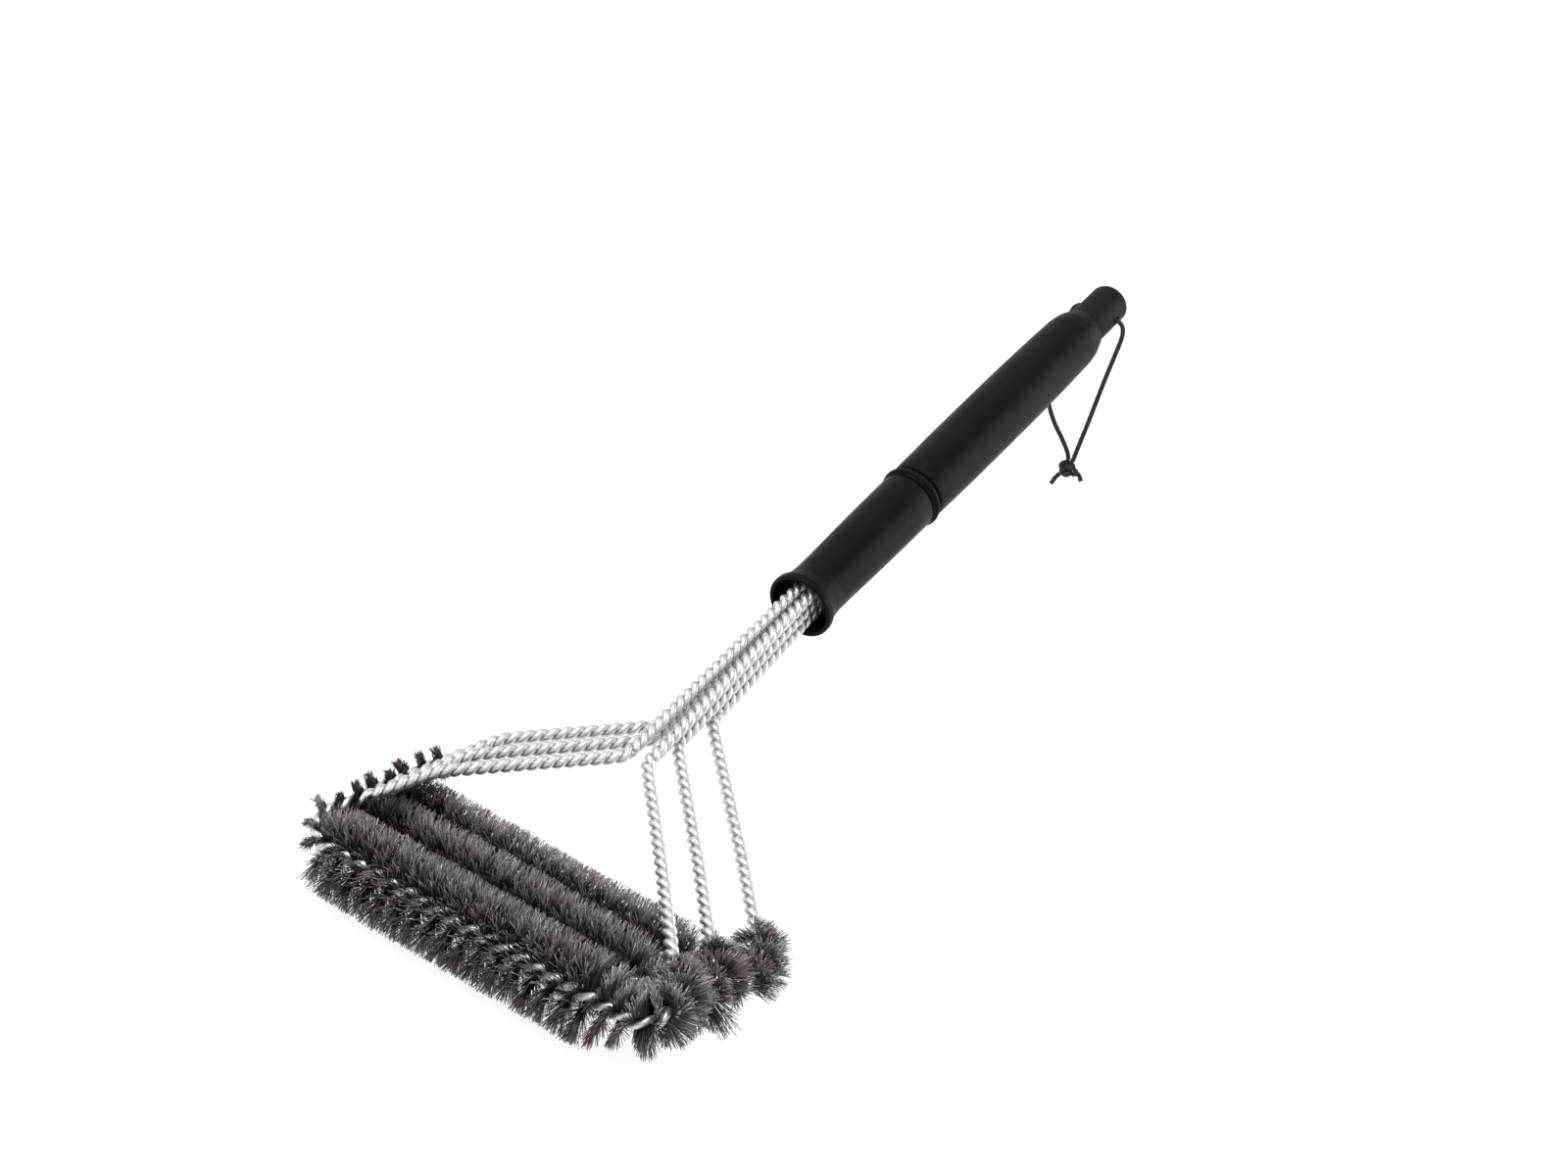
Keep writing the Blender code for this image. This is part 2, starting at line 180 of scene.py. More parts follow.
# Worked out from the above
SHAFT_AXIS = Vector((0, math.cos(SHAFT_RISE), math.sin(SHAFT_RISE)))
SHAFT_UP = Vector((0, -math.sin(SHAFT_RISE), math.cos(SHAFT_RISE)))
MIDDLE_BEND = Vector((0, LOOP_REACH, CORE_HEIGHT + LOOP_RISE))
MOUTH = MIDDLE_BEND + SHAFT_AXIS * SHAFT_LENGTH
HOLE = MOUTH + SHAFT_AXIS * CORD_HOLE

# The axes of a limit, and a place that is past every piece
Y, Z = 1, 2
FAR_AWAY = 1

# A direction that no line here runs along, and the steps of a curve between two of its points
OFF_LINE = (0.31, 0.52, 0.79)
CURVE_STEPS = 24


# Camera, light and floor


def add_camera():
    """The photograph's view: from the front right, above the rows, with the camera rolled."""
    look = Vector((-0.37516, 0.85341, -0.36186)).normalized()
    level = look.to_track_quat("-Z", "Y")
    roll = Quaternion(look, math.radians(-17.4))
    camera = bpy.data.cameras.new("camera")
    camera.lens = 69.73
    camera.sensor_width = 36
    obj = bpy.data.objects.new("camera", camera)
    obj.location = (0.41255, -0.79555, 0.50153)
    obj.rotation_euler = (roll @ level).to_euler()
    bpy.context.scene.collection.objects.link(obj)
    bpy.context.scene.camera = obj


def add_softbox(name, place, target, size, power):
    light = bpy.data.lights.new(name, "AREA")
    light.shape = "RECTANGLE"
    light.size, light.size_y = size
    light.energy = power
    obj = bpy.data.objects.new(name, light)
    obj.location = place
    obj.rotation_euler = (Vector(target) - Vector(place)).to_track_quat("-Z", "Y").to_euler()
    bpy.context.scene.collection.objects.link(obj)


def add_sun(name, direction, strength):
    light = bpy.data.lights.new(name, "SUN")
    light.energy = strength
    light.angle = math.radians(50)
    obj = bpy.data.objects.new(name, light)
    obj.rotation_euler = Vector(direction).to_track_quat("-Z", "Y").to_euler()
    bpy.context.scene.collection.objects.link(obj)


def add_studio():
    """A pale floor in a white room, lit from above, from the right rear and from the front left."""
    scene = bpy.context.scene
    scene.view_settings.view_transform = "Standard"
    scene.world = bpy.data.worlds.new("room")
    scene.world.use_nodes = True
    room = scene.world.node_tree.nodes["Background"]
    room.inputs["Color"].default_value = (1, 1, 1, 1)
    room.inputs["Strength"].default_value = 0.8
    add_sun("overhead", (0.25, 0.35, -1), 2.0)
    add_sun("right_rear", (-1, -0.9, -0.5), 1.3)
    add_softbox("key", (-0.6, -0.7, 1.4), (0, 0.1, 0.05), (0.7, 0.7), 5)
    bpy.ops.mesh.primitive_plane_add(size=12, location=(0, 0, -0.0002))
    floor = bpy.context.object
    floor.name = "floor"
    floor.data.materials.append(floor_material())


# Materials


def new_material(name, metallic, roughness):
    material = bpy.data.materials.new(name)
    material.use_nodes = True
    shader = material.node_tree.nodes["Principled BSDF"]
    shader.inputs["Metallic"].default_value = metallic
    shader.inputs["Roughness"].default_value = roughness
    return material, material.node_tree, shader


def add_noise(tree, scale, detail=3):
    """A noise texture in metres."""
    place = tree.nodes.new("ShaderNodeTexCoord")
    noise = tree.nodes.new("ShaderNodeTexNoise")
    noise.inputs["Scale"].default_value = scale
    noise.inputs["Detail"].default_value = detail
    tree.links.new(place.outputs["Object"], noise.inputs["Vector"])
    return noise.outputs["Fac"]


def add_ramp(tree, value, stops):
    ramp = tree.nodes.new("ShaderNodeValToRGB")
    while len(ramp.color_ramp.elements) < len(stops):
        ramp.color_ramp.elements.new(0.5)
    for element, (position, colour) in zip(ramp.color_ramp.elements, stops):
        element.position = position
        element.color = (*colour, 1)
    tree.links.new(value, ramp.inputs["Fac"])
    return ramp.outputs["Color"]


def add_range(tree, value, low, high):
    """Maps a texture's middle range onto low to high."""
    mapped = tree.nodes.new("ShaderNodeMapRange")
    mapped.inputs["From Min"].default_value = 0.3
    mapped.inputs["From Max"].default_value = 0.7
    mapped.inputs["To Min"].default_value = low
    mapped.inputs["To Max"].default_value = high
    tree.links.new(value, mapped.inputs["Value"])
    return mapped.outputs["Result"]


def add_bump(tree, shader, height, strength, distance):
    bump = tree.nodes.new("ShaderNodeBump")
    bump.inputs["Strength"].default_value = strength
    bump.inputs["Distance"].default_value = distance
    tree.links.new(height, bump.inputs["Height"])
    tree.links.new(bump.outputs["Normal"], shader.inputs["Normal"])


def floor_material():
    """A white floor lit from below like a light table, so that only a faint shadow lies on it."""
    material, tree, shader = new_material("pale_floor", 0, 0.75)
    shade = add_ramp(tree, add_noise(tree, 2), [(0, (0.13, 0.13, 0.13)), (1, (0.16, 0.16, 0.16))])
    tree.links.new(shade, shader.inputs["Base Color"])
    shader.inputs["Emission Color"].default_value = (1, 1, 1, 1)
    shader.inputs["Emission Strength"].default_value = 0.9
    return material


def wire_material(name, metallic, low, high):
    """Bright drawn stainless wire with patches of duller skin, and painted shade between its strands."""
    material, tree, shader = new_material(name, metallic, 0.32)
    tone = add_ramp(tree, add_noise(tree, 420, 4), [(0.3, (low,) * 3), (0.7, (high,) * 3)])
    # Painted shade where the strands touch
    painted_crevice_shade = tree.nodes.new("ShaderNodeAttribute")
    painted_crevice_shade.attribute_name = "painted_crevice_shade"
    mix = tree.nodes.new("ShaderNodeMix")
    mix.data_type = "RGBA"
    mix.inputs["B"].default_value = (0.45, 0.45, 0.45, 1)
    tree.links.new(painted_crevice_shade.outputs["Fac"], mix.inputs["Factor"])
    tree.links.new(tone, mix.inputs["A"])
    tree.links.new(mix.outputs["Result"], shader.inputs["Base Color"])
    tree.links.new(add_range(tree, add_noise(tree, 900, 2), 0.24, 0.40), shader.inputs["Roughness"])
    add_bump(tree, shader, add_noise(tree, 3500, 3), 0.25, 0.0001)
    return material


def bristle_material():
    """Fine steel bristles: each has its own shade, with the painted shade and light in its tint, and a
    brown cast lies in patches.
    """
    material, tree, shader = new_material("bristles_look", 0.85, 0.48)
    tint = tree.nodes.new("ShaderNodeAttribute")
    tint.attribute_name = "tint"
    steel = [
        (0, (0.02, 0.02, 0.019)),
        (0.5, (0.145, 0.145, 0.14)),
        (0.85, (0.30, 0.30, 0.29)),
        (1, (0.65, 0.65, 0.63)),
    ]
    brown = [
        (0, (0.018, 0.009, 0.008)),
        (0.5, (0.145, 0.11, 0.106)),
        (1, (0.36, 0.30, 0.29)),
    ]
    groove = tree.nodes.new("ShaderNodeAttribute")
    groove.attribute_name = "groove"
    cast = tree.nodes.new("ShaderNodeMath")
    cast.use_clamp = True
    tree.links.new(add_range(tree, add_noise(tree, 45, 2), -0.2, 0.8), cast.inputs[0])
    tree.links.new(groove.outputs["Fac"], cast.inputs[1])
    mix = tree.nodes.new("ShaderNodeMix")
    mix.data_type = "RGBA"
    tree.links.new(cast.outputs["Value"], mix.inputs["Factor"])
    tree.links.new(add_ramp(tree, tint.outputs["Fac"], steel), mix.inputs["A"])
    tree.links.new(add_ramp(tree, tint.outputs["Fac"], brown), mix.inputs["B"])
    tree.links.new(mix.outputs["Result"], shader.inputs["Base Color"])
    return material


def plastic_material(name, dark, light, roughness):
    """Satin moulded plastic with a fine grain and faint uneven gloss."""
    material, tree, shader = new_material(name, 0, roughness)
    shader.inputs["Specular IOR Level"].default_value = 0.07
    tone = add_ramp(tree, add_noise(tree, 60, 4), [(0.3, dark), (0.7, light)])
    tree.links.new(tone, shader.inputs["Base Color"])
    gloss = add_range(tree, add_noise(tree, 140, 4), roughness - 0.05, roughness + 0.06)
    tree.links.new(gloss, shader.inputs["Roughness"])
    add_bump(tree, shader, add_noise(tree, 4200, 2), 0.18, 0.0001)
    return material


def cord_material():
    """Black braided cord: the braid is in the mesh, and fine fibres are here."""
    material, tree, shader = new_material("black_cord_look", 0, 0.78)
    stops = [(0.3, (0.003, 0.003, 0.0035)), (0.7, (0.011, 0.011, 0.012))]
    tree.links.new(add_ramp(tree, add_noise(tree, 2600, 4), stops), shader.inputs["Base Color"])
    shader.inputs["Sheen Weight"].default_value = 0.12
    shader.inputs["Sheen Roughness"].default_value = 0.4
    add_bump(tree, shader, add_noise(tree, 9000, 2), 0.4, 0.0001)
    return material


# Meshes


def new_piece(name, points, faces, material, body, nodes):
    """A smooth mesh that rides on a body and stands for these CAD nodes."""
    mesh = bpy.data.meshes.new(name)
    mesh.from_pydata([tuple(point) for point in points], [], faces)
    mesh.materials.append(material)
    mesh.shade_smooth()
    obj = bpy.data.objects.new(name, mesh)
    bpy.context.scene.collection.objects.link(obj)
    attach(obj, body)
    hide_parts(*nodes)
    return obj


def even_points(route, spacing):
    """Points at even distances along straight runs between a route's points."""
    route = np.array([tuple(point) for point in route])
    run = np.concatenate([[0], np.cumsum(np.linalg.norm(np.diff(route, axis=0), axis=1))])
    at = np.linspace(0, run[-1], round(run[-1] / spacing) + 1)
    return np.stack([np.interp(at, run, route[:, axis]) for axis in range(3)], axis=1)


def smooth_route(route, spacing):
    """Even points on a Catmull-Rom curve through a route's own points."""
    ends = [route[0] * 2 - route[1], *route, route[-1] * 2 - route[-2]]
    fine = []
    for a, b, c, d in zip(ends, ends[1:], ends[2:], ends[3:]):
        for step in range(CURVE_STEPS):
            t = step / CURVE_STEPS
            cubic = (-a + 3 * b - 3 * c + d) * t**3 + (2 * a - 5 * b + 4 * c - d) * t**2
            fine.append((cubic + (c - a) * t + 2 * b) / 2)
    fine.append(route[-1])
    return even_points(fine, spacing)


def rounded_corner(before, corner, after, radius, steps):
    """The arc that rounds a corner between two straight runs."""
    back, ahead = (before - corner).normalized(), (after - corner).normalized()
    half = back.angle(ahead) / 2
    centre = corner + (back + ahead).normalized() * radius / math.sin(half)
    start = corner + back * radius / math.tan(half) - centre
    end = corner + ahead * radius / math.tan(half) - centre
    turn = start.angle(end)
    points = []
    for step in range(steps + 1):
        share = step / steps
        blend = start * math.sin((1 - share) * turn) + end * math.sin(share * turn)
        points.append(centre + blend / math.sin(turn))
    return points


def carried_frames(points):
    """The direction at each point of a line, and two directions across it that don't spin."""
    along = np.gradient(points, axis=0)
    along /= np.linalg.norm(along, axis=1)[:, None]
    across = np.zeros_like(along)
    first = np.cross(along[0], OFF_LINE)
    across[0] = first / np.linalg.norm(first)
    for i in range(1, len(points)):
        kept = across[i - 1] - along[i] * (across[i - 1] @ along[i])
        across[i] = kept / np.linalg.norm(kept)
    return along, across, np.cross(along, across)


def spokes(angle, across, other):
    """The direction across a line at this angle, at each point."""
    return np.cos(angle)[:, None] * across + np.sin(angle)[:, None] * other


def tube(points, radii, sides, first_index=0):
    """Points and faces of a capped tube. radii is one number, or one for each point and side."""
    _, across, other = carried_frames(points)
    angles = np.arange(sides) * 2 * np.pi / sides
    radii = np.broadcast_to(radii, (len(points), sides))[:, :, None]
    turns = angles[None, :, None]
    ring = np.cos(turns) * across[:, None] + np.sin(turns) * other[:, None]
    shape = (points[:, None] + radii * ring).reshape(-1, 3)
    faces = []
    for row in range(len(points) - 1):
        start = first_index + row * sides
        for side in range(sides):
            ahead = (side + 1) % sides
            faces.append((start + side, start + ahead, start + sides + ahead, start + sides + side))
    last = first_index + (len(points) - 1) * sides
    faces.append(tuple(range(first_index + sides - 1, first_index - 1, -1)))
    faces.append(tuple(range(last, last + sides)))
    return shape, faces


# Wire loops


def on_shaft(station, across, up):
    return MIDDLE_BEND + SHAFT_AXIS * station + Vector((across, 0, 0)) + SHAFT_UP * up


def loop_corners(name, side_name):
    """Tail, mouth, bend, knee, corner and row middle of one half of a loop."""
    order, left_bend, right_bend, right_corner = LOOPS[name]
    right = side_name == "right"
    across = SIDES[side_name] * WIRE_PITCH / 2
    stack = -order * WIRE_PITCH
    tail = on_shaft(SHAFT_LENGTH + WIRE_TAIL, across, stack)
    mouth = on_shaft(SHAFT_LENGTH + MOUTH_DEPTH, across, stack)
    aside = RIGHT_BEND_ASIDE if right else 0
    bend = on_shaft(right_bend if right else left_bend, across + aside, stack)
    middle = Vector((0, order * ROW_SPACING, CORE_HEIGHT))
    corner = middle + Vector((right_corner if right else LEFT_CORNER, 0, 0))
    width_share, rise_share = KNEES[side_name]
    rise = (bend - middle) * rise_share
    knee = Vector((corner.x * width_share, middle.y + rise.y, middle.z + rise.z))
    return tail, mouth, bend, knee, corner, middle


def half_route(name, side_name):
    """One half of a loop, from its tail to the middle of its row, and its shank's length."""
    tail, mouth, bend, knee, corner, middle = loop_corners(name, side_name)
    top = rounded_corner(mouth, bend, knee, BEND_RADIUS, 8)
    waist = rounded_corner(bend, knee, corner, KNEE_RADIUS, 6)
    bottom = rounded_corner(knee, corner, middle, CORNER_RADIUS, 14)
    return [tail, mouth, *top, *waist, *bottom, middle], (tail - mouth).length + (mouth - top[0]).length


class Loop:
    """One loop's line from tail to tail, its twist, and where its nodes begin and end."""

    def __init__(self, name):
        left, left_shank = half_route(name, "left")
        right, right_shank = half_route(name, "right")
        self.points = even_points([*left, *right[-2::-1]], WIRE_STEP)
        steps = np.linalg.norm(np.diff(self.points, axis=0), axis=1)
        self.run = np.concatenate([[0], np.cumsum(steps)])
        total = self.run[-1]
        middle = self.nearest_run(left[-1])
        row = (middle - ROW_HALF_LENGTH, middle + ROW_HALF_LENGTH)
        self.stretches = {
            f"{name}_left_shank": (0, left_shank),
            f"{name}_left_arm": (left_shank, row[0]),
            f"{name}_row_core": row,
            f"{name}_right_arm": (row[1], total - right_shank),
            f"{name}_right_shank": (total - right_shank, total),
        }
        self.tuft_ends = []
        for side_name in SIDES:
            _, _, _, knee, corner, _ = loop_corners(name, side_name)
            last_bristle = corner + (knee - corner).normalized() * TUFT_ARM_RUNS[side_name]
            self.tuft_ends.append(self.nearest_run(last_bristle))
        bristled = (self.run > self.tuft_ends[0]) & (self.run < self.tuft_ends[1])
        pitch = np.where(bristled, ROW_TWIST, ARM_TWIST)
        self.phase = -np.concatenate([[0], np.cumsum(2 * np.pi * steps / pitch[1:])])
        self.along, self.across, self.other = carried_frames(self.points)

    def nearest_run(self, place):
        """How far along its line the loop passes this place."""
        return self.run[np.argmin(np.linalg.norm(self.points - np.array(place), axis=1))]

    def at(self, values, where):
        """A value of each point, read at these distances along the line."""
        return np.stack([np.interp(where, self.run, values[:, axis]) for axis in range(3)], axis=1)


def build_wires(loop, material, core_material):
    """Two strands twisted about each other, cut where the CAD nodes meet, and painted in shade where they
    touch.
    """
    for node, (start, end) in loop.stretches.items():
        inside = np.flatnonzero((loop.run >= start - CUT_OVERLAP) & (loop.run <= end + CUT_OVERLAP))
        shape, faces, crevice_shades = [], [], []
        for turn in (0, np.pi):
            outward = spokes(loop.phase + turn, loop.across, loop.other)[inside]
            strand = loop.points[inside] + outward * (WIRE_DIAMETER / 2 - STRAND_RADIUS)
            part, part_faces = tube(strand, STRAND_RADIUS, STRAND_SIDES, sum(map(len, shape)))
            away = part - np.repeat(strand, STRAND_SIDES, axis=0)
            facing = -np.sum(away * np.repeat(outward, STRAND_SIDES, axis=0), axis=1) / STRAND_RADIUS
            shape.append(part)
            faces += part_faces
            # How far into the painted shade between the strands each point lies
            crevice_shades.append((facing - CREVICE_START) / CREVICE_WIDTH)
        # The row cores get the brighter copy of the steel, painted in as highlights
        look = core_material if node.endswith("core") else material
        points = np.concatenate(shape)
        piece = new_piece(f"{node}_wire", points, faces, look, "brush", [node])
        add_values(piece, "painted_crevice_shade", np.concatenate(crevice_shades))


# Bristles


def soft_waves(where, noise, length):
    """A smooth random line through 0, about one high."""
    total = np.zeros_like(where)
    for _ in range(5):
        wave = length * noise.uniform(0.6, 1.8)
        total += np.sin(2 * np.pi * where / wave + noise.uniform(0, 6.3))
    return total / 2.2


def share_within(limits, root, offset):
    """How much of each offset from its root fits within the limits.

    Each limit is an axis and the lowest and highest place on it that a bristle may reach.
    """
    share = np.ones(len(root))
    for axis, low, high in limits:
        room = np.where(offset[:, axis] < 0, low - root[:, axis], high - root[:, axis])
        share = np.minimum(share, np.abs(room) / np.maximum(np.abs(offset[:, axis]), 1e-6))
    return share


def bristle_lines(loop, start, end, reaches, form, limits, noise):
    """Root, middle and tip of each bristle of one stretch of wire.

    A bristle leaves the wire between its strands, and leans along the wire more towards its tip. The form
    is a flare, a fray and an unevenness. Bristles are sparser and more upright towards the window.
    """
    flare, fray, unevenness = form
    count = int((end - start) * BRISTLES_PER_METRE)
    where = start + (end - start) * (np.arange(count) + noise.random(count)) / count
    root = loop.at(loop.points, where)
    along, across, other = (loop.at(values, where) for values in (loop.along, loop.across, loop.other))
    side = noise.integers(0, 2, count)
    angle = np.interp(where, loop.run, loop.phase) + np.pi / 2 + np.pi * side
    twist = noise.normal(0, TURN_SPREAD, count) + TURN_WAVE * soft_waves(where, noise, TURN_WAVE_LENGTH)
    lean = noise.uniform(-flare, flare, count) + noise.normal(0, LEAN_SPREAD, count)
    lean += LEAN_WAVE * soft_waves(where + side, noise, LEAN_WAVE_LENGTH)
    reach = np.interp(where, np.linspace(start, end, len(reaches)), reaches)
    frayed = np.clip(1 - fray * np.abs(twist), SHORTEST_FRAY, 1)
    reach *= noise.normal(LENGTH_MEAN, LENGTH_SPREAD, count) * frayed
    wave = soft_waves(where + 0.4 * side, noise, LENGTH_WAVE_LENGTH) - 0.5
    reach *= np.minimum(1 + unevenness * wave, 1)
    facing = np.clip(spokes(angle, across, other) @ WINDOW, 0, 1)
    kept = noise.random(count) > SPARSE_SHARE * facing**SPARSE_POWER
    offsets = []
    for share, bend in BENDS:
        spread = bend * lean * (1 - UPRIGHT_SHARE * facing**UPRIGHT_POWER)
        direction = spokes(angle + bend * twist, across, other) + spread[:, None] * along
        offsets.append(share * reach[:, None] * direction)
    fit = share_within(limits, root, offsets[-1])[:, None]
    middle, tip = (root + offset * fit for offset in offsets)
    middle += noise.normal(0, MIDDLE_SPREAD, (count, 3))
    return np.stack([root, middle, tip], axis=1)[kept]


def bristle_prisms(lines, noise):
    """A three-sided prism along each bristle's line, thinner at its tip."""
    count = len(lines)
    outward = lines[:, 2] - lines[:, 0]
    helper = noise.normal(0, 1, (count, 3))
    first = np.cross(outward, helper)
    first /= np.linalg.norm(first, axis=1)[:, None]
    second = np.cross(outward / np.linalg.norm(outward, axis=1)[:, None], first)
    corners = []
    for side in range(PRISM_SIDES):
        turn = 2 * side * np.pi / PRISM_SIDES
        corners.append(math.cos(turn) * first + math.sin(turn) * second)
    ring = np.stack(corners, axis=1)
    half = BRISTLE_THICKNESS / 2 * np.array([1, 1, 0.75])
    points = lines[:, :, None] + ring[:, None] * half[None, :, None, None]
    base = np.arange(count)[:, None, None] * BRISTLE_POINTS
    quads = []
    for low in (0, PRISM_SIDES):
        high = low + PRISM_SIDES
        for side in range(PRISM_SIDES):
            ahead = (side + 1) % PRISM_SIDES
            quads.append([low + side, low + ahead, high + ahead, high + side])
    tip = [range(2 * PRISM_SIDES, BRISTLE_POINTS)]
    faces = (base + np.array(quads)).reshape(-1, 4).tolist()
    faces += (base[:, 0] + np.array(tip)).tolist()
    return points.reshape(-1, 3), faces


def add_values(obj, name, values):
    attribute = obj.data.attributes.new(name, "FLOAT", "POINT")
    attribute.data.foreach_set("value", np.clip(values, 0, 1).reshape(-1).astype(np.float32))


def add_tints(obj, points, brightness, noise):
    """Gives each bristle its own shade, with painted shade at its root and painted light at its tip.

    It paints shade in the grooves between the rows, a shadow at the left ends of the rear two rows and
    shade under the rows, and marks the grooves, where the brown cast lies.
    """
    count = len(points) // BRISTLE_POINTS
    shade = np.clip(noise.normal(brightness, BRIGHTNESS_SPREAD, count), 0, 1)
    # Some bristles are painted fully bright, as glints
    shade = np.where(noise.random(count) < PAINTED_GLINT_SHARE, 1, shade)
    x, y, z = points.T
    # Painted shade in the grooves between the rows
    groove = 1 - np.abs(np.abs(y) - ROW_SPACING / 2) / GROOVE_WIDTH
    groove = np.clip(groove, 0, 1) * (np.abs(x) < ROW_HALF_LENGTH + GROOVE_PAST_ROW)
    # Painted shadow of the arms and tufts at the left ends of the rear two rows
    corner = np.clip((CORNER_START - x) / CORNER_WIDTH, 0, 1) * (y > -ROW_SPACING / 2)
    # Painted shade on the rows' undersides
    under = np.clip((CORE_HEIGHT + UNDER_START - z) / UNDER_WIDTH, 0, 1)
    # Painted shade at the roots and middles, painted light at the tips
    tints = (shade[:, None] + np.repeat(PAINTED_ROOT_SHADE_TO_TIP_LIGHT, PRISM_SIDES)[None]).reshape(-1)
    add_values(obj, "tint", tints - GROOVE_PAINTED_SHADE * groove - CORNER_PAINTED_SHADOW * corner - UNDER_PAINTED_SHADE * under)
    add_values(obj, "groove", groove)


def build_bristles(loop, name, material, seed):
    """The row and the two corner tufts of one loop."""
    order = LOOPS[name][0]
    row_y = order * ROW_SPACING
    radius = BRISTLE_RADII[name]
    front = row_y - (ROW_SPACING / 2 if order > -1 else radius)
    back = row_y + (ROW_SPACING / 2 if order < 1 else radius)
    start, end = loop.stretches[f"{name}_row_core"]
    floor, tuft_floor = (Z, FLOOR_CLEARANCE, FAR_AWAY), (Z, TUFT_FLOORS[name], FAR_AWAY)
    form = (ROW_FLARE, 0, ROW_UNEVENNESS)
    row = (start, end, [radius] * 2, form, [floor, (Y, front - ROW_OVERLAP, back + ROW_OVERLAP)])
    forms = {side: (TUFT_FLARES[side], TUFT_FRAYS[side], TUFT_UNEVENNESS[side]) for side in SIDES}
    left = (loop.tuft_ends[0], start, TUFT_REACH["left"][::-1], forms["left"], [floor])
    right = (end, loop.tuft_ends[1], TUFT_REACH["right"], forms["right"], [tuft_floor])
    for part, stretch in (("bristle_row", row), ("left_tuft", left), ("right_tuft", right)):
        seed += 10
        noise = np.random.default_rng(seed)
        lines = bristle_lines(loop, *stretch, noise)
        points, faces = bristle_prisms(lines, noise)
        node = f"{name}_{part}"
        piece = new_piece(f"{node}_bristles", points, faces, material, "brush", [node])
        add_tints(piece, points, BRIGHTNESS[part], noise)


# Grip


def softened(profile):
    """A closed outline with each corner rounded, as far as its short sides allow."""
    profile = [Vector((across, along, 0)) for across, along in profile]
    rounded = []
    for i, corner in enumerate(profile):
        before, after = profile[i - 1], profile[(i + 1) % len(profile)]
        turn = (corner - before).angle(after - corner)
        room = 0.45 * min((corner - before).length, (after - corner).length)
        if turn < FLAT_TURN:
            rounded.append(corner)
            continue
        fit = min(EDGE_RADIUS, room / math.tan(turn / 2))
        rounded += rounded_corner(before, corner, after, fit, 4)
    return [(point.x, point.y) for point in rounded]


def turn_angles():
    """Even angles about the grip, with more of them at the two parting lines."""
    angles = list(np.arange(GRIP_SIDES) * 2 * np.pi / GRIP_SIDES)
    for line in (0, np.pi):
        angles += [line + shift for shift in SEAM_SHIFTS]
    return np.sort(np.mod(angles, 2 * np.pi))


def turned(profile):
    """Points and faces of a closed outline turned about the grip's axis, with a fine seam on both sides."""
    angles = turn_angles()
    ridge = np.where(np.abs(np.sin(angles)) < SEAM_WIDTH, SEAM_HEIGHT, 0)
    points = []
    for angle, raised in zip(angles, ridge):
        out = Vector((math.cos(angle), 0, 0)) + SHAFT_UP * math.sin(angle)
        for radius, height in profile:
            points.append(MOUTH + SHAFT_AXIS * height + out * (radius + raised * (radius > SLEEVE_BORE)))
    count, faces = len(profile), []
    for turn in range(len(angles)):
        ahead = (turn + 1) % len(angles)
        for i in range(count):
            j = (i + 1) % count
            faces.append((turn * count + i, turn * count + j, ahead * count + j, ahead * count + i))
    return points, faces


def front_sleeve_outline():
    outer = [(0.0120, 0.0755), (0.0119, 0.058), (0.0116, 0.038), (0.0112, 0.020)]
    flare = [(0.0112, 0.0125), (0.0117, 0.0075), (0.0127, 0.0042), (0.0133, 0.0032), (0.0133, 0.0006)]
    mouth = [(0.0128, 0.0), (0.0122, 0.0), (0.0116, 0.0008), (0.0108, 0.0038), (0.0101, 0.0072)]
    return outer + flare + mouth + [(SLEEVE_BORE, 0.0078), (SLEEVE_BORE, 0.0755)]


def joint_ring_outline():
    middle = (RING_START + RING_END) / 2
    crown = []
    for step in range(-4, 5):
        angle = math.radians(15 * step)
        crown.append((0.0114 + 0.0015 * math.cos(angle), middle - 0.0015 * math.sin(angle)))
    return [(0.0100, RING_END), (0.0114, RING_END), *crown, (0.0114, RING_START), (0.0100, RING_START)]


def rear_sleeve_outline():
    start = RING_END + GAP
    shoulder = [(0.0086, SHOULDER_END), (0.0097, SHOULDER_END - 0.001), (0.0113, SHOULDER_START + 0.002)]
    outer = [(0.0119, SHOULDER_START - 0.003), (0.0123, 0.185), (0.0126, 0.160), (0.0126, 0.135)]
    taper = [(0.0125, 0.110), (0.0122, 0.088), (0.0120, start)]
    spigot = [(SLEEVE_BORE - GAP, start), (SLEEVE_BORE - GAP, 0.066), (0.0073, 0.066), (0.0073, 0.095)]
    hollow = [(0.0095, 0.100), (0.0095, 0.183), (0.0073, 0.188), (0.0073, SHOULDER_END)]
    return shoulder + outer + taper + spigot + hollow


def end_cap_outline():
    dish = [(0.00005, GRIP_LENGTH - 0.0022), (0.0048, GRIP_LENGTH - 0.0022), (0.0056, GRIP_LENGTH)]
    rim = [(0.0070, GRIP_LENGTH), (0.0078, GRIP_LENGTH - 0.0007), (NECK_RADIUS, GRIP_LENGTH - 0.002)]
    neck = [(NECK_RADIUS, SHOULDER_END + GAP), (0.0070, SHOULDER_END + GAP)]
    return dish + rim + neck + [(0.0070, 0.193), (0.0062, 0.191), (0.00005, 0.191)]


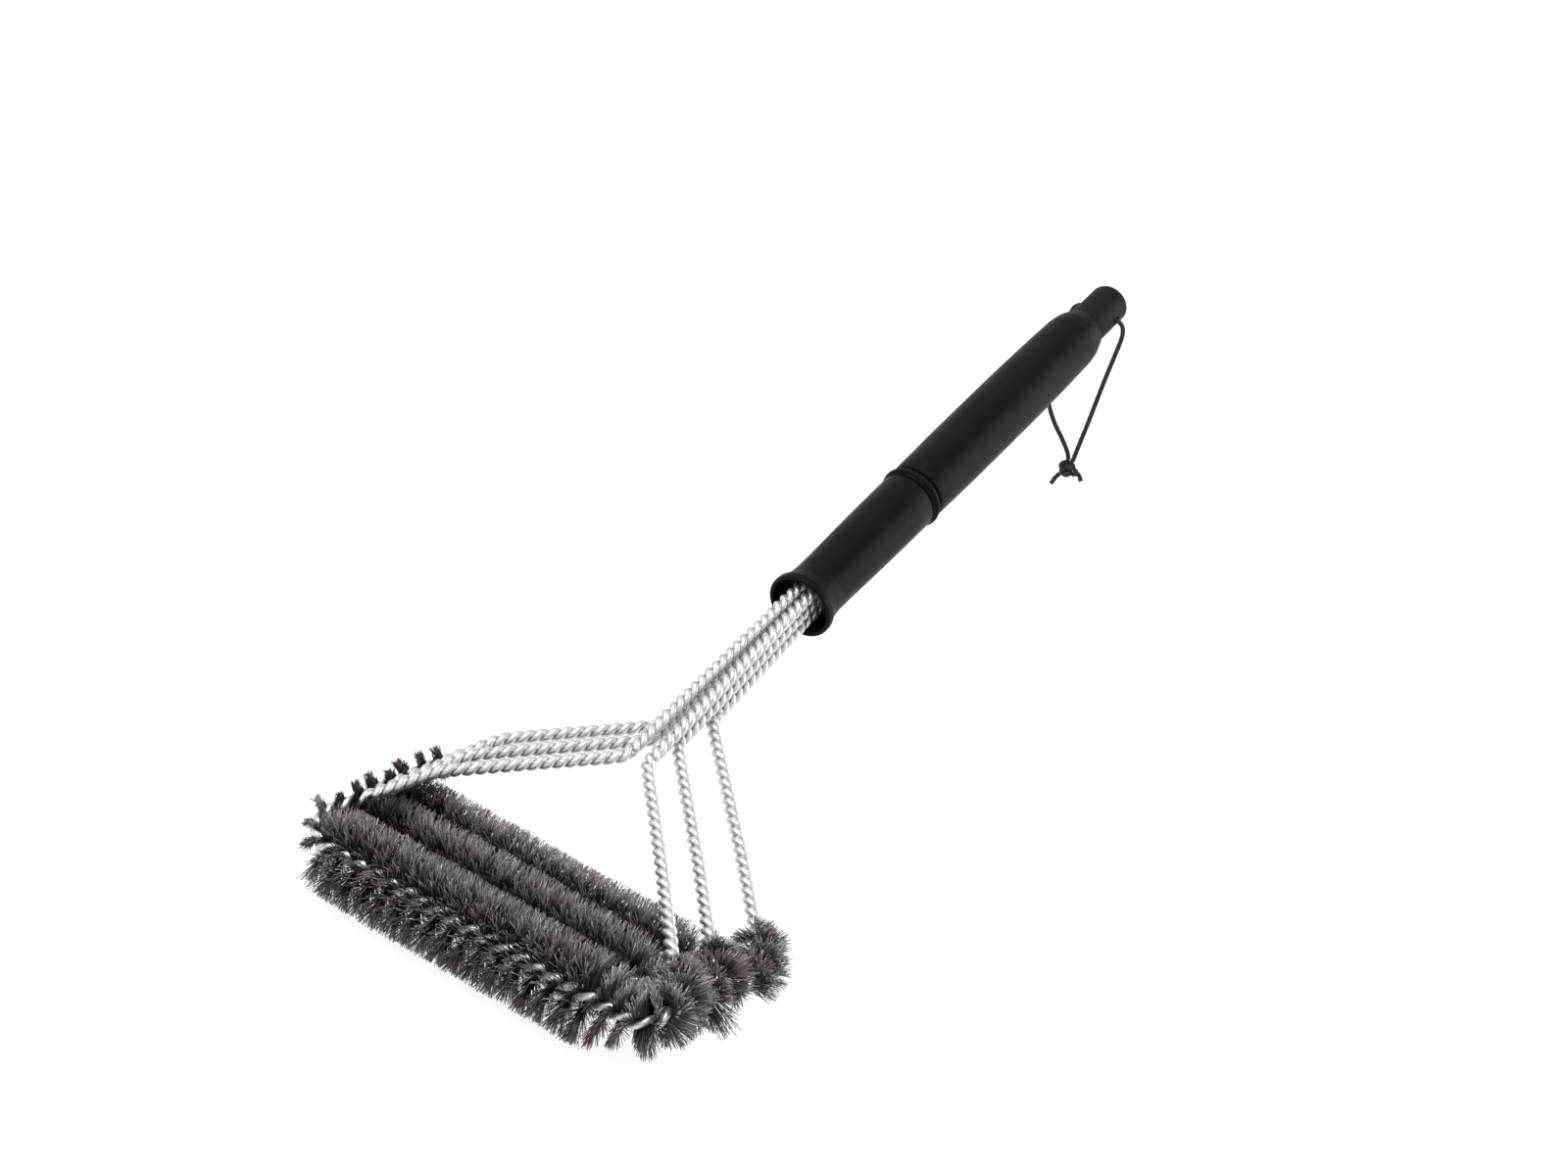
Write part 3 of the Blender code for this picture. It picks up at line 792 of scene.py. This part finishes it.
def bore_cord_hole(cap):
    """Cuts the cord's hole across the neck and applies the cut."""
    bpy.ops.mesh.primitive_cylinder_add(vertices=48, radius=HOLE_RADIUS, depth=0.04)
    drill = bpy.context.object
    drill.location = HOLE
    drill.rotation_euler = (0, math.pi / 2, 0)
    cut = cap.modifiers.new("hole", "BOOLEAN")
    cut.operation = "DIFFERENCE"
    cut.object = drill
    bpy.context.view_layer.update()
    result = cap.evaluated_get(bpy.context.evaluated_depsgraph_get())
    mesh = bpy.data.meshes.new_from_object(result)
    cap.modifiers.clear()
    cap.data = mesh
    bpy.data.objects.remove(drill)


def build_grip(plastic, dark_plastic, steel):
    outlines = {
        "front_sleeve": (front_sleeve_outline(), plastic, "grip_plastic"),
        "joint_ring": (joint_ring_outline(), plastic, "grip_plastic"),
        "rear_sleeve": (rear_sleeve_outline(), plastic, "grip_plastic"),
        "end_cap": (end_cap_outline(), dark_plastic, "cap_plastic"),
    }
    for node, (outline, material, slot) in outlines.items():
        points, faces = turned(softened(outline))
        piece = new_piece(f"{node}_look", points, faces, material, "brush", [node])
        if node == "end_cap":
            bore_cord_hole(piece)
        piece.data.set_sharp_from_angle(angle=math.radians(40))
    for node, material in (("core_plug", dark_plastic), ("tail_band", steel)):
        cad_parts[node].material_slots[0].material = material


# Cord. Its route below the hole is the CAD's, as (across, down) in millimetres


NEAR_ROUTE = [
    (0.2, 0), (4, 0), (8, 0), (10.6, 0.7), (12.3, 2.9), (12.9, 7),
    (12.5, 15), (11.9, 25), (11.5, 35), (11.1, 46), (10.6, 55), (10.2, 63.8),
]
FAR_ROUTE = [
    (-0.2, 0), (-4, 0), (-8, 0), (-10, 0.6), (-11.5, 2.7), (-12.2, 7), (-12.6, 15),
    (-12.6, 25), (-11.6, 35), (-9, 43.5), (-3.8, 50.8), (2.4, 56.6), (6.6, 61), (8.2, 64.0),
]
KNOT_AT = (9.4, 67.8)
LEFT_TAIL = [(6.4, 71.2), (5.2, 73.6), (4.3, 76.6)]
RIGHT_TAIL = [(13.9, 67.8), (15.4, 68.7), (16.5, 70.4)]


def below_hole(place):
    across, down = place
    return HOLE + Vector((across, 0, -down)) / 1000


def braided_tube(points):
    """A tube whose surface rises and dips like an eight-strand braid."""
    run = np.arange(len(points)) * np.linalg.norm(points[1] - points[0])
    angles = np.arange(CORD_SIDES) * 2 * np.pi / CORD_SIDES
    turn = 2 * np.pi * run[:, None] / BRAID_PITCH
    weave = np.maximum(np.cos(4 * angles + turn), np.cos(4 * angles - turn))
    return tube(points, CORD_DIAMETER / 2 * (0.95 + 0.05 * weave), CORD_SIDES)


def cord_piece(name, route, material):
    points = smooth_route([below_hole(place) for place in route], CORD_STEP)
    shape, faces = braided_tube(points)
    piece = new_piece(f"{name}_look", shape, faces, material, "hang_loop", [name])
    return piece, points


def knot_line():
    """The closed line of a trefoil, which is what an overhand knot pulls into, a little wide."""
    t = np.linspace(0, 2 * np.pi, 160)
    swell = 2.0 + 1.0 * np.cos(3 * t)
    line = [1.3 * swell * np.cos(2 * t), 1.25 * np.sin(3 * t), -0.9 * swell * np.sin(2 * t)]
    return np.stack(line, axis=1) * KNOT_SCALE


def build_knot(material):
    place = np.array(below_hole(KNOT_AT))
    shape, faces = braided_tube(place + knot_line())
    return new_piece("cord_knot_look", shape, faces, material, "hang_loop", ["cord_knot"])


def build_cord(material):
    near, near_line = cord_piece("cord_near_strand", NEAR_ROUTE, material)
    far, far_line = cord_piece("cord_far_strand", FAR_ROUTE, material)
    left, _ = cord_piece("cord_left_tail", LEFT_TAIL, material)
    right, _ = cord_piece("cord_right_tail", RIGHT_TAIL, material)
    knot = build_knot(material)


add_camera()
build_cord(cord_material())
add_studio()
wire_steel = wire_material("twisted_wire_look", 0.85, 0.56, 0.73)
# A brighter, less metallic copy of the same steel for the row cores, which paints in the highlights on
# their bumps
core_steel_painted_bright = wire_material("row_core_look", 0.4, 0.8, 0.95)
bristle_steel = bristle_material()
for seed, loop_name in enumerate(LOOPS):
    loop = Loop(loop_name)
    build_wires(loop, wire_steel, core_steel_painted_bright)
    build_bristles(loop, loop_name, bristle_steel, 1000 * seed)
grip_tones = (0.0018, 0.0019, 0.0022), (0.0034, 0.0036, 0.0041)
cap_tones = (0.006, 0.0063, 0.007), (0.009, 0.0094, 0.0102)
grip_black = plastic_material("grip_plastic_look", *grip_tones, 0.42)
cap_black = plastic_material("cap_plastic_look", *cap_tones, 0.45)
build_grip(grip_black, cap_black, wire_steel)
